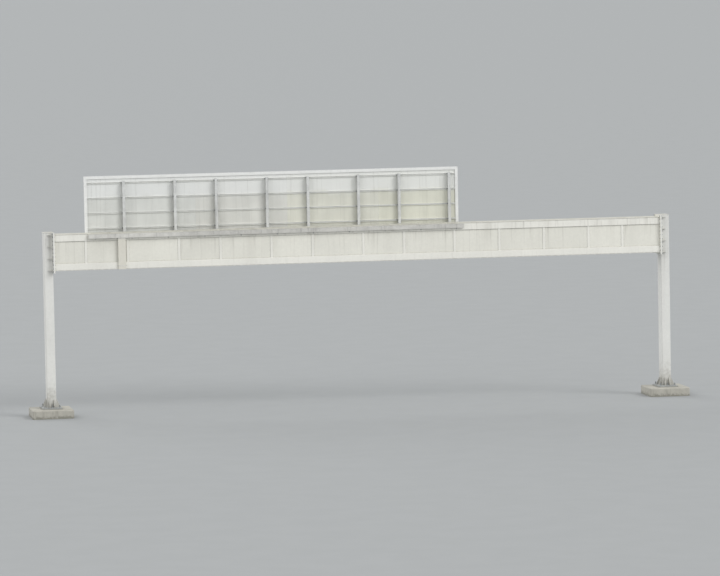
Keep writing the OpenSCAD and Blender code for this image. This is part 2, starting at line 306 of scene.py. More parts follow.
@dataclass(frozen=True)
class WeatheredPaint:
    """Satin paint on steel: rain streaks below the drip edge, traffic film, and dust on what faces up."""

    name: str
    colour: Colour
    drip_z: float = 7.342
    drip_reach: float = 1.3
    streak: float = 0.34
    splash_z: float = 0.0
    grime: Colour = (0.47, 0.45, 0.39)
    dust: Colour = (0.60, 0.59, 0.52)
    rust: Colour = (0.42, 0.28, 0.20)
    roughness: float = 0.42

    def aged(self, s: Shader, colour: Term) -> Term:
        """Returns the paint's colour as it has aged from piece to piece, here the same on all."""
        return colour

    def make(self) -> bpy.types.Material:
        """Builds the finish.

        Returns:
            The material.
        """
        s = Shader(self.name)
        colour = self.aged(s, s.mottled(linear(self.colour), s.noise(0.55, 3.0), 0.96, 1.02))
        colour = s.mottled(colour, s.noise(11.0, 5.0, 0.6), 0.975, 1.02)
        below_drip = s.span(s.z, self.drip_z - self.drip_reach, self.drip_z, (0.25, 1.0))
        narrow = s.runs(7.0, 0.32, (0.5, 0.72), rough=0.62)
        wide = s.runs(1.6, 0.22, (0.45, 0.75), 3.0, 0.5)
        rain = s.math("MAXIMUM", narrow, wide * 0.6) * s.upright * below_drip * self.streak
        film = s.span(s.up, -0.4, -0.9) * s.span(s.noise(1.8, 5.0), 0.25, 0.7, (0.25, 0.6))
        settled = s.span(s.up, 0.5, 0.9) * s.span(s.noise(2.6, 6.0, 0.65), 0.3, 0.7, (0.35, 0.75))
        layers = [(rain, self.grime), (film, self.grime), (settled, self.dust)]
        dirt = rain + (film + settled)
        if self.splash_z:
            edge = s.ragged(s.z, s.noise(6.0, 5.0), 0.25)
            splash = s.span(edge, self.splash_z, 0.3) * s.upright * 0.5
            layers.append((splash, self.grime))
            dirt += splash
        chips = s.span(s.noise(38.0, 3.0), 0.735, 0.76) * s.span(s.noise(1.4, 2.0), 0.58, 0.7)
        for share, stain in [*layers, (chips, self.rust)]:
            colour = s.stained(colour, share, stain)
        roughness = s.math("MINIMUM", dirt * 0.5 + self.roughness, 0.9)
        peel = s.bump(s.noise(240.0, 2.0), 0.0002, s.bump(s.noise(1.3, 2.0), 0.004))
        return s.close(colour, roughness, s.bump(chips, -0.0004, peel), specular=0.5)


@dataclass(frozen=True)
class PanelPaint(WeatheredPaint):
    """Paint of the side panels, each of which has aged to a tone of its own."""

    edges: tuple[float, ...] = ()
    tones: Pair = (0.965, 1.015)

    def aged(self, s: Shader, colour: Term) -> Term:
        """Tones each panel by itself: its place in the row picks one random tone on either side.

        Args:
            s: The finish's tree.
            colour: The paint's colour.

        Returns:
            The toned colour.
        """
        number = s.math("GREATER_THAN", s.y, 0.0) * float(len(self.edges))
        for edge in self.edges:
            number += s.math("GREATER_THAN", s.x, edge)
        chance = s.term("ShaderNodeTexWhiteNoise", {"W": number}, "Value", noise_dimensions="1D")
        return s.toned(colour, s.span(chance, 0.0, 1.0, self.tones))


@dataclass(frozen=True)
class Galvanised:
    """Hot-dip galvanised steel gone dull: faint spangle, pale bloom, and darker runs.

    The tone steps say at which X the tone changes along a run of lengths, and by what factor.
    """

    name: str
    colour: Colour
    spangle: float = 42.0
    metallic: float = 0.35
    bloom: Colour = (0.80, 0.81, 0.80)
    stain: Colour = (0.36, 0.36, 0.34)
    thread_pitch: float = 0.0
    tone_steps: tuple[Pair, ...] = ()
    step_reach: float = 0.6

    def make(self) -> bpy.types.Material:
        """Builds the finish.

        Returns:
            The material.
        """
        s = Shader(self.name)
        grain = s.term("ShaderNodeSeparateColor", {0: s.cells(self.spangle, out="Color")})
        colour = s.toned(linear(self.colour), s.span(grain, 0.0, 1.0, (0.93, 1.07)))
        colour = s.mottled(colour, s.noise(3.2, 5.0, 0.6), 0.88, 1.08)
        bloom = s.span(s.noise(5.5, 6.0, 0.7), 0.55, 0.75, (0.0, 0.5))
        colour = s.stained(colour, bloom, self.bloom)
        colour = s.stained(colour, s.runs(16.0, 0.6) * 0.35, self.stain)
        for x, factor in self.tone_steps:
            colour = s.toned(colour, s.span(s.x, x - self.step_reach, x + self.step_reach, (1.0, factor)))
        roughness = bloom * 0.3 + s.span(grain, 0.0, 1.0, (0.48, 0.6))
        relief = s.bump(s.noise(30.0, 4.0), 0.0006)
        if self.thread_pitch:
            relief = s.bump(s.math("SINE", s.z * (math.tau / self.thread_pitch)), 0.0006, relief)
        return s.close(colour, roughness, relief, metallic=self.metallic)


@dataclass(frozen=True)
class SheetAluminium:
    """Weathered aluminium sheet seen from behind: matt, a little blotched, and made paler along its top by a
    painted highlight.
    """

    name: str
    colour: Colour
    # The painted highlight along the sheets' top: its colour, and the heights over which it fades in from
    # nothing to full.
    painted_highlight: Colour = (0.905, 0.91, 0.90)
    highlight_foot: float = 8.55
    highlight_head: float = 8.85
    stain: Colour = (0.50, 0.50, 0.45)
    spot: Colour = (0.62, 0.62, 0.56)
    metallic: float = 0.12

    def make(self) -> bpy.types.Material:
        """Builds the finish.

        Returns:
            The material.
        """
        s = Shader(self.name)
        colour = s.mottled(linear(self.colour), s.noise(1.1, 4.0), 0.95, 1.03)
        bands = s.noise(1.0, 3.0, 0.5, (3.0, 3.0, 0.25))
        colour = s.toned(colour, s.span(bands, 0.35, 0.7, (1.02, 0.94)))
        # Painted highlight: the sheets turn paler towards their top, above a ragged foot, standing in for light
        # on that band.
        edge = s.ragged(s.z, s.noise(1.0, 3.0, 0.5, (2.2, 2.2, 0.5)), 0.06)
        painted_highlight = s.span(edge, self.highlight_foot, self.highlight_head, (0.0, 0.75))
        colour = s.stained(colour, painted_highlight, self.painted_highlight)
        colour = s.stained(colour, s.runs(11.0, 0.35, (0.54, 0.75), rough=0.65) * 0.2, self.stain)
        colour = s.stained(colour, s.span(s.noise(26.0, 4.0, 0.6), 0.66, 0.72) * 0.3, self.spot)
        roughness = s.span(s.noise(4.0, 5.0), 0.3, 0.7, (0.45, 0.62))
        waves = s.bump(s.noise(0.9, 1.0), 0.006)
        rolled = s.bump(s.noise(1.0, 3.0, 0.6, (3.0, 3.0, 400.0)), 0.0002, waves)
        return s.close(colour, roughness, rolled, metallic=self.metallic)


@dataclass(frozen=True)
class ExtrudedAluminium:
    """Mill-finish extrusion of the rails and the trim, with its draw lines along X."""

    name: str
    colour: Colour
    dull: Colour = (0.70, 0.71, 0.68)
    metallic: float = 0.35
    dulled: float = 0.45

    def make(self) -> bpy.types.Material:
        """Builds the finish.

        Returns:
            The material.
        """
        s = Shader(self.name)
        lines = s.noise(1.0, 4.0, 0.6, (0.6, 260.0, 260.0))
        dull = s.span(s.noise(6.0, 6.0, 0.65), 0.45, 0.75, (0.0, self.dulled))
        colour = s.stained(s.mottled(linear(self.colour), lines, 0.94, 1.04), dull, self.dull)
        return s.close(colour, dull * 0.4 + 0.4, s.bump(lines, 0.0002), metallic=self.metallic)


@dataclass(frozen=True)
class CastConcrete:
    """Shuttered concrete with a bed of grout on top: board marks, blow holes with painted shade in them, and a
    damp foot.
    """

    name: str
    colour: Colour
    grout_z: float
    grout: Colour = (0.56, 0.56, 0.54)
    damp: Colour = (0.36, 0.36, 0.31)
    stain: Colour = (0.43, 0.42, 0.38)
    lichen: Colour = (0.55, 0.57, 0.44)
    board: float = 0.117

    def make(self) -> bpy.types.Material:
        """Builds the finish.

        Returns:
            The material.
        """
        s = Shader(self.name)
        colour = s.mottled(linear(self.colour), s.noise(2.2, 8.0, 0.65), 0.86, 1.06)
        colour = s.mottled(colour, s.noise(60.0, 4.0, 0.7), 0.93, 1.05)
        grout = s.math("GREATER_THAN", s.z, self.grout_z + 0.001)
        damp = s.span(s.ragged(s.z, s.noise(9.0, 5.0), 0.05), 0.13, 0.02) * s.upright * 0.55
        runs = s.runs(9.0, 1.2, (0.52, 0.72)) * s.upright * 0.35
        lichen = s.span(s.noise(21.0, 5.0, 0.7), 0.6, 0.66) * s.span(s.up, 0.3, 0.9) * 0.4
        layers = ((grout * 0.75, self.grout), (damp, self.damp), (runs, self.stain), (lichen, self.lichen))
        for share, stain in layers:
            colour = s.stained(colour, share, stain)
        # Blow holes: small dents in the relief, with painted shade in them that darkens the colour there.
        holes = s.span(s.cells(34.0), 0.13, 0.07) * s.span(s.noise(7.0, 3.0), 0.5, 0.56) * s.upright
        colour = s.toned(colour, s.span(holes, 0.0, 1.0, (1.0, 0.55)))
        seam = s.math("ABSOLUTE", s.math("FRACT", s.math("DIVIDE", s.z, self.board)) - 0.5)
        marks = s.span(seam, 0.47, 0.5) * s.upright * s.math("SUBTRACT", 1.0, grout)
        relief = s.bump(s.noise(45.0, 6.0, 0.7), 0.0025, s.bump(marks, 0.003))
        relief = s.bump(holes, -0.005, relief)
        return s.close(colour, s.span(damp, 0.0, 0.5, (0.9, 0.7)), relief, specular=0.35)


@dataclass(frozen=True)
class SignFilm:
    """Reflective film of the sign's face, with its fine cells under a clear top layer."""

    name: str
    colour: Colour
    stain: Colour = (0.45, 0.44, 0.38)
    cell: float = 220.0

    def make(self) -> bpy.types.Material:
        """Builds the finish.

        Returns:
            The material.
        """
        s = Shader(self.name)
        cells = s.cells(self.cell, "DISTANCE_TO_EDGE")
        colour = s.toned(linear(self.colour), s.span(cells, 0.0, 0.12, (0.86, 1.0)))
        colour = s.mottled(colour, s.noise(0.8, 3.0), 0.96, 1.03)
        runs = s.runs(9.0, 0.4) * 0.22
        colour = s.stained(colour, runs, self.stain)
        relief = s.bump(cells, 0.0001, s.bump(s.noise(0.9, 1.0), 0.004))
        return s.close(colour, runs * 0.8 + 0.38, relief, coat=0.25, coat_roughness=0.2)


@dataclass(frozen=True)
class Mastic:
    """Grey joint sealant, matt and a little crazed."""

    name: str
    colour: Colour

    def make(self) -> bpy.types.Material:
        """Builds the finish.

        Returns:
            The material.
        """
        s = Shader(self.name)
        colour = s.mottled(linear(self.colour), s.noise(14.0, 5.0), 0.85, 1.1)
        roughness = s.span(s.noise(20.0), 0.3, 0.7, (0.6, 0.8))
        return s.close(colour, roughness, s.bump(s.noise(90.0, 4.0), 0.0008))


class GrownTree(Graph):
    """A Geometry Nodes tree whose sizes are named inputs, and which ends realized and finished."""

    def __init__(self, name: str) -> None:
        """Starts the tree with inputs for its places and its finish.

        Args:
            name: The tree's name.
        """
        super().__init__(bpy.data.node_groups.new(name, "GeometryNodeTree"))
        self.name = name
        self.tree.interface.new_socket("Geometry", in_out="OUTPUT", socket_type="NodeSocketGeometry")
        self.source = self.node("NodeGroupInput")
        self.identifiers: dict[str, str] = {}
        self.places = self.given("Places", "NodeSocketGeometry")
        self.finish = self.given("Finish", "NodeSocketMaterial")

    def given(self, name: str, kind: str = "NodeSocketFloat") -> Term:
        """Adds a named input, which is a length unless it says otherwise.

        Args:
            name: The input's name.
            kind: Its type.

        Returns:
            What it gives inside the tree.
        """
        item = self.tree.interface.new_socket(name, in_out="INPUT", socket_type=kind)
        self.identifiers[name] = item.identifier
        return Term(self, self.source.outputs[name])

    def sizes(self, *names: str) -> list[Term]:
        """Returns a named length for each name."""
        return [self.given(name) for name in names]

    def moved(self, geometry: Term, x: Value = 0.0, y: Value = 0.0, z: Value = 0.0) -> Term:
        """Returns the geometry moved."""
        return self.term("GeometryNodeTransform", {"Geometry": geometry, "Translation": self.vector(x, y, z)})

    def stack(self, base: Value, *layers: tuple, x: Value = 0.0) -> list[Term]:
        """Stands upright prisms and cone stumps on each other.

        Args:
            base: The height of the lowest foot.
            *layers: The sides of each, its widths over its corners at foot and top, and its height.
            x: Where their middle lies.

        Returns:
            The parts, from the foot up.
        """
        parts = []
        for sides, foot, top, height in layers:
            radii = {"Radius Bottom": foot * 0.5, "Radius Top": top * 0.5}
            inputs = {"Vertices": sides, "Depth": height} | radii
            cone = self.term("GeometryNodeMeshCone", inputs, fill_type="NGON")
            parts.append(self.moved(cone, x=x, z=base))
            base = self.math("ADD", base, height)
        return parts

    def block(self, length: Value, width: Value, height: Value, x: Value, z: Value) -> Term:
        """Returns a block whose middle lies at x and z."""
        cube = self.term("GeometryNodeMeshCube", {"Size": self.vector(length, width, height)})
        return self.moved(cube, x=x, z=z)

    def union(self, *parts: Term) -> Term:
        """Makes the parts one closed solid, with no face left inside it.

        Args:
            *parts: The parts, which touch or overlap.

        Returns:
            The solid.
        """
        node = self.node("GeometryNodeMeshBoolean", operation="UNION", solver="EXACT")
        for part in parts:
            self.tree.links.new(part.socket, node.inputs["Mesh 2"])
        inputs = {"Geometry": Term(self, node.outputs[0]), "Distance": MERGED}
        return self.term("GeometryNodeMergeByDistance", inputs)

    def attribute(self, name: str) -> Term:
        """Returns a vector that each place carries."""
        return self.term("GeometryNodeInputNamedAttribute", {"Name": name}, data_type="FLOAT_VECTOR")

    def on_places(self, part: Term, twist: float = 0.0, seed: int = 0) -> Term:
        """Puts a part on every place, turned to face as the place says.

        Args:
            part: The part, which stands along its own Z and reaches along its own X.
            twist: The most that it is turned about its own Z at random, in radians.
            seed: The seed of those turns.

        Returns:
            The instances.
        """
        align = "FunctionNodeAlignRotationToVector"
        turned = self.term(align, {"Vector": self.attribute("facing")}, axis="Z")
        inputs = {"Rotation": turned, "Vector": self.attribute("along")}
        turned = self.term(align, inputs, axis="X", pivot_axis="Z")
        if twist:
            inputs = {2: -twist, 3: twist, "Seed": seed}
            chance = self.term("FunctionNodeRandomValue", inputs, 1, data_type="FLOAT")
            spin = self.term("FunctionNodeAxisAngleToRotation", {"Axis": UP, "Angle": chance})
            inputs = {"Rotation": turned, "Rotate By": spin}
            turned = self.term("FunctionNodeRotateRotation", inputs, rotation_space="LOCAL")
        inputs = {"Points": self.places, "Instance": part, "Rotation": turned}
        return self.term("GeometryNodeInstanceOnPoints", inputs)

    def close(self, geometry: Term) -> GrownTree:
        """Ends the tree: the instances are realized and take the finish.

        Args:
            geometry: What the tree has made.

        Returns:
            The tree.
        """
        real = self.term("GeometryNodeRealizeInstances", {0: geometry})
        dressed = self.term("GeometryNodeSetMaterial", {"Geometry": real, "Material": self.finish})
        self.node("NodeGroupOutput", {0: dressed})
        return self


BOLT = ("Washer Width", "Washer Height", "Across Flats", "Head Height", "Thread Width", "Thread Height")
RIVET = ("Head Width", "Head Height")
CLAMP = ("Clamp Length", "Clamp Width", "Clamp Height", "Nose", "Step", "Across Flats")
BRACKET = ("Leg Length", "Shelf Length", "Bracket Width", "Bracket Wall")
SADDLE = ("Duct Width", "Duct Depth", "Strap Width", "Strap Wall", "Ear Length")
BEAD = ("Bead Width", "Ripple Pitch", "Ripple")
OVER_CORNERS = 2 / math.sqrt(3)


def bolt_tree() -> GrownTree:
    """Builds the tree of bolts and nuts: washer, chamfered hexagon and the end of the thread.

    Returns:
        The tree.
    """
    t = GrownTree("bolts")
    washer_w, washer_h, flats, head_h, stud_w, stud_h = t.sizes(*BOLT)
    corners, bevel_h = flats * OVER_CORNERS, stud_h * 0.15
    layers = (
        (16, washer_w, washer_w, washer_h),
        (6, corners, corners, head_h * 0.86),
        (12, flats * 0.985, flats * 0.86, head_h * 0.14),
        (10, stud_w, stud_w, stud_h - bevel_h),
        (10, stud_w, stud_w * 0.8, bevel_h),
    )
    return t.close(t.on_places(t.union(*t.stack(0.0, *layers)), math.radians(30), seed=3))


def rivet_tree() -> GrownTree:
    """Builds the tree of rivets and screws with low domed heads.

    Returns:
        The tree.
    """
    t = GrownTree("rivets")
    width, height = t.sizes(*RIVET)
    shoulder = width * 0.82
    layers = ((8, width, shoulder, height * 0.6), (8, shoulder, width * 0.38, height * 0.4))
    return t.close(t.on_places(t.union(*t.stack(0.0, *layers)), math.pi, seed=5))


def clamp_tree() -> GrownTree:
    """Builds the tree of rail clamps: a cast finger over the flange, its heel on the rail, and its bolt.

    Returns:
        The tree.
    """
    t = GrownTree("clamps")
    play = washer_h = 0.002
    length, width, height, nose, step, flats = t.sizes(*CLAMP)
    body = t.block(length, width, height * 0.5, length * 0.5 - nose, height * 0.25)
    up = t.axes(t.term("GeometryNodeInputNormal"))[2]
    top = t.term("FunctionNodeCompare", {0: up, 1: 0.5}, operation="GREATER_THAN")
    inputs = {"Mesh": body, "Selection": top, "Offset Scale": height * 0.5}
    raised, lid = t.node("GeometryNodeExtrudeMesh", inputs, mode="FACES").outputs[:2]
    inputs = {"Geometry": Term(t, raised), "Selection": Term(t, lid), "Scale": 0.72}
    cast = t.term("GeometryNodeScaleElements", inputs)
    heel_l = length - nose - play
    heel_x = heel_l * 0.5 + play
    heel = t.block(heel_l, width, step, heel_x, step * -0.5)
    corners = flats * OVER_CORNERS
    layers = ((12, corners, corners, washer_h), (6, corners, corners, flats * 0.55))
    return t.close(t.on_places(t.union(cast, heel, *t.stack(height, *layers, x=heel_x))))


def bracket_tree() -> GrownTree:
    """Builds the tree of angle brackets: a leg down the wall and a shelf that stands out at its top.

    Returns:
        The tree.
    """
    t = GrownTree("brackets")
    drop, reach, width, wall = t.sizes(*BRACKET)
    leg = t.block(drop, width, wall, drop * -0.5, wall * 0.5)
    shelf_reach = reach - wall
    shelf = t.block(wall, width, shelf_reach, wall * -0.5, wall + shelf_reach * 0.5)
    return t.close(t.on_places(t.union(leg, shelf)))


def saddle_tree() -> GrownTree:
    """Builds the tree of saddle straps: a strip folded over a duct, with an ear on the wall at each side.

    Returns:
        The tree.
    """
    t = GrownTree("saddles")
    duct_w, duct_d, strap, wall, ear = t.sizes(*SADDLE)
    half_wall = wall * 0.5
    over_w, side_y = duct_w + wall * 2.0, (duct_w + wall) * 0.5
    side_h, ear_w = duct_d + half_wall, ear + half_wall
    ear_y = (over_w + ear - half_wall) * 0.5
    parts = [t.block(strap, over_w, wall, 0.0, duct_d + half_wall)]
    for turn in BOTH_WAYS:
        parts.append(t.moved(t.block(strap, wall, side_h, 0.0, side_h * 0.5), y=side_y * turn))
        parts.append(t.moved(t.block(strap, ear_w, wall, 0.0, half_wall), y=ear_y * turn))
    return t.close(t.on_places(t.union(*parts)))


def bead_tree() -> GrownTree:
    """Builds the tree of beads along lines: rippled weld runs, or smooth sealant with no ripple.

    Returns:
        The tree.
    """
    t = GrownTree("beads")
    width, pitch, ripple = t.sizes(*BEAD)
    curve = t.term("GeometryNodeMeshToCurve", {"Mesh": t.places})
    even = t.term("GeometryNodeResampleCurve", {"Curve": curve, "Length": pitch}, mode="LENGTH")
    beat = t.math("PINGPONG", t.term("GeometryNodeInputIndex"), 1.0)
    thickness = t.math("SUBTRACT", 1.0, beat * ripple)
    swollen = t.term("GeometryNodeSetCurveRadius", {"Curve": even, "Radius": thickness})
    inputs = {"Resolution": 7, "Radius": width * 0.5}
    profile = t.term("GeometryNodeCurvePrimitiveCircle", inputs, mode="RADIUS")
    inputs = {"Curve": swollen, "Profile Curve": profile, "Fill Caps": True}
    return t.close(t.term("GeometryNodeCurveToMesh", inputs))


@dataclass(frozen=True)
class Place:
    """Where a small part stands, the way it faces and the way it reaches."""

    at: Point
    facing: Point
    along: Point = ALONG


@dataclass(frozen=True)
class Fitting:
    """A kind of small part: the tree that makes it, its sizes, its finish and the record's slot."""

    tree: str
    sizes: dict[str, float]
    finish: str = "zinc fastening"
    slot: Slot = Slot.STEEL


def bolt(washer: Pair, head: Pair, thread: Pair, finish: str = "zinc fastening") -> Fitting:
    """Returns a kind of bolt or nut, from the width and height of its washer, head and thread."""
    return Fitting("bolts", dict(zip(BOLT, (*washer, *head, *thread))), finish)


def rivet(width: float, height: float, slot: Slot = Slot.STEEL) -> Fitting:
    """Returns a kind of rivet or screw."""
    return Fitting("rivets", dict(zip(RIVET, (width, height))), slot=slot)


def bead(width: float, pitch: float, ripple: float, finish: str, slot: Slot) -> Fitting:
    """Returns a kind of weld or sealant."""
    return Fitting("beads", dict(zip(BEAD, (width, pitch, ripple))), finish, slot)


BEAM_WELD = bead(0.008, 0.014, 0.2, "beam paint", Slot.BEAM)


@dataclass
class Workshop:
    """What the sub-assemblies share: the frame, the finishes, the trees, and how a piece is kept."""

    frame: dict
    finishes: dict[str, bpy.types.Material] = field(default_factory=dict)
    trees: dict[str, GrownTree] = field(default_factory=dict)

    def dress(self, finish: str, *nodes: str) -> None:
        """Gives CAD nodes a finish.

        Args:
            finish: The finish's name.
            *nodes: The nodes' names.
        """
        for name in nodes:
            node = self.frame["nodes"][name]
            if not node.material_slots:
                node.data.materials.append(None)
            for slot in node.material_slots:
                slot.material = self.finishes[finish]
            LOG.info("dressed %s in %s", name, finish)

    def keep(self, piece: bpy.types.Object) -> None:
        """Lets a finished piece ride on the portal and reports it.

        Args:
            piece: The piece, in place.
        """
        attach(piece, BODY)
        LOG.info("made %s with %d faces", piece.name, len(piece.data.polygons))

    def solid(self, name: str, made: bmesh.types.BMesh, finish: str, slot: Slot) -> None:
        """Turns a built mesh into a kept piece.

        Args:
            name: The piece's name.
            made: The built mesh, which is freed.
            finish: The finish's name.
            slot: The record's slot; not used.
        """
        bmesh.ops.recalc_face_normals(made, faces=made.faces)
        mesh = plain_mesh(name, made)
        mesh.materials.append(self.finishes[finish])
        self.keep(put(name, mesh))

    def grow(self, name: str, kind: Fitting, mesh: bpy.types.Mesh) -> None:
        """Runs a fitting's tree on a mesh of places or lines, and keeps the result as a plain mesh.

        Args:
            name: The piece's name.
            kind: The kind of fitting.
            mesh: The places or lines.
        """
        piece = put(name, mesh)
        modifier = piece.modifiers.new("grow", "NODES")
        grown = self.trees[kind.tree]
        modifier.node_group = grown.tree
        for key, value in [*kind.sizes.items(), ("Finish", self.finishes[kind.finish])]:
            modifier[grown.identifiers[key]] = value
        bpy.context.view_layer.update()
        graph = bpy.context.evaluated_depsgraph_get()
        result = bpy.data.meshes.new_from_object(piece.evaluated_get(graph), depsgraph=graph)
        piece.modifiers.remove(modifier)
        piece.data = result
        result.name = name
        self.keep(piece)

    def fasten(self, name: str, kind: Fitting, places: list[Place]) -> None:
        """Puts a fitting on every place.

        Args:
            name: The piece's name.
            kind: The kind of fitting.
            places: The places.
        """
        mesh = bpy.data.meshes.new(name)
        mesh.from_pydata([place.at for place in places], [], [])
        for key in ("facing", "along"):
            layer = mesh.attributes.new(key, "FLOAT_VECTOR", "POINT")
            layer.data.foreach_set("vector", [number for place in places for number in getattr(place, key)])
        self.grow(name, kind, mesh)

    def lay(self, name: str, kind: Fitting, lines: list[list[Point]]) -> None:
        """Lays a bead along every line. A line whose last point repeats its first is a closed one.

        Args:
            name: The piece's name.
            kind: The kind of bead.
            lines: The lines, as lists of points.
        """
        points: list[Point] = []
        edges: list[tuple[int, int]] = []
        for line in lines:
            first, closed = len(points), line[0] == line[-1]
            points += line[:-1] if closed else line
            edges += [(i, i + 1) for i in range(first, len(points) - 1)]
            if closed:
                edges.append((len(points) - 1, first))
        mesh = bpy.data.meshes.new(name)
        mesh.from_pydata(points, edges, [])
        self.grow(name, kind, mesh)


def put(name: str, data: bpy.types.ID) -> bpy.types.Object:
    """Puts a mesh, lamp or camera in the scene as an object at the origin.

    Args:
        name: The object's name.
        data: The mesh, lamp or camera.

    Returns:
        The object.
    """
    thing = bpy.data.objects.new(name, data)
    bpy.context.scene.collection.objects.link(thing)
    return thing


def plain_mesh(name: str, made: bmesh.types.BMesh) -> bpy.types.Mesh:
    """Turns a built mesh into a plain one and frees it.

    Args:
        name: The mesh's name.
        made: The built mesh.

    Returns:
        The plain mesh.
    """
    mesh = bpy.data.meshes.new(name)
    made.to_mesh(mesh)
    made.free()
    return mesh


def face_at(box: Box, axis: int, way: float) -> float:
    """Returns where the face of a box lies that looks along an axis, or against it."""
    return box[1 if way > 0 else 0][axis]


def plate(x0: float, x1: float, z0: float, z1: float, radius: float) -> list[Pair]:
    """Returns a round-cornered outline between two corners."""
    return round_box(((x0 + x1) / 2, (z0 + z1) / 2), (x1 - x0, z1 - z0), radius)


def on_wall(spots: list[Pair], y: float, facing: Point) -> list[Place]:
    """Returns places at X and Z on an upright wall along the beam."""
    return [Place((x, y, z), facing) for x, z in spots]


def ring(middle: Pair, size: Pair, radius: float) -> list[Pair]:
    """Returns the closed line round a round-cornered rectangle, whose last point is its first."""
    outline = round_box(middle, size, radius)
    return outline + outline[:1]


def spread(start: float, end: float, pitch: float) -> list[float]:
    """Returns evenly spread places from start to end, no further apart than the pitch."""
    count = max(1, math.ceil((end - start) / pitch))
    return [start + (end - start) * i / count for i in range(count + 1)]


def clusters(values: list[float], gap: float) -> list[Pair]:
    """Groups values that lie closer together than a gap.

    Args:
        values: The values, in any order.
        gap: The least gap between two groups.

    Returns:
        The lowest and highest value of each group, in order.
    """
    groups: list[Pair] = []
    for value in sorted(values):
        if groups and value - groups[-1][1] < gap:
            groups[-1] = (groups[-1][0], value)
        else:
            groups.append((value, value))
    return groups


def between(low: float, pairs: list[Pair], high: float) -> list[Pair]:
    """Returns the stretches from low to high that the pairs leave free."""
    edges = [low, *(edge for pair in pairs for edge in pair), high]
    return list(zip(edges[0::2], edges[1::2]))


def round_box(middle: Pair, size: Pair, radius: float, steps: int = 6) -> list[Pair]:
    """Draws a rectangle with round corners, counter-clockwise.

    Args:
        middle: Its middle.
        size: Its width and height.
        radius: The corners' radius.
        steps: How many edges each corner has.

    Returns:
        The outline.
    """
    outline = []
    for corner, (sx, sy) in enumerate(((1, 1), (-1, 1), (-1, -1), (1, -1))):
        for step in range(steps + 1):
            angle = math.radians(90 * corner + 90 * step / steps)
            x = sx * (size[0] / 2 - radius) + radius * math.cos(angle)
            y = sy * (size[1] / 2 - radius) + radius * math.sin(angle)
            outline.append((middle[0] + x, middle[1] + y))
    return outline


